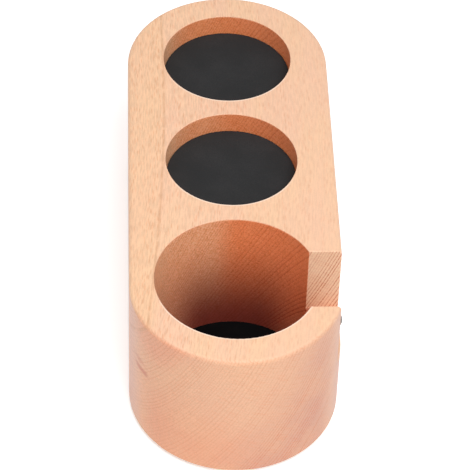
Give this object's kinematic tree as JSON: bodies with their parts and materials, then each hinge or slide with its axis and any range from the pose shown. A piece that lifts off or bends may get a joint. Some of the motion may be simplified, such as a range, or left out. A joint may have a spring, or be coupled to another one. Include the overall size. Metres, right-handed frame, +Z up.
{
  "type": "espresso tamping station",
  "caption": "Solid beech block that holds a portafilter basket in a deep bore with a side slot for its handle, and a tamper and a distributor in shallow padded recesses.",
  "frame": {"origin": "middle of the block's footprint, on the surface that the feet stand on", "axes": "+Z up, +Y from the deep bore to the far end, +X to the side with the handle slot"},
  "size_m": [0.0961, 0.24, 0.0725],
  "materials": {
    "beech": "fine sanded and thinly oiled",
    "black_rubber": "matte",
    "charcoal_rubber": "matte",
    "screw_steel": "dark oxide",
    "foot_rubber": "matte"
  },
  "bodies": {
    "root": {"beech_block": "beech", "bore_pad": "black_rubber", "middle_pad": "charcoal_rubber", "far_pad": "charcoal_rubber", "near_screw": "screw_steel", "far_screw": "screw_steel", "near_left_foot": "foot_rubber", "near_right_foot": "foot_rubber", "far_left_foot": "foot_rubber", "far_right_foot": "foot_rubber"}
  },
  "joints": []
}
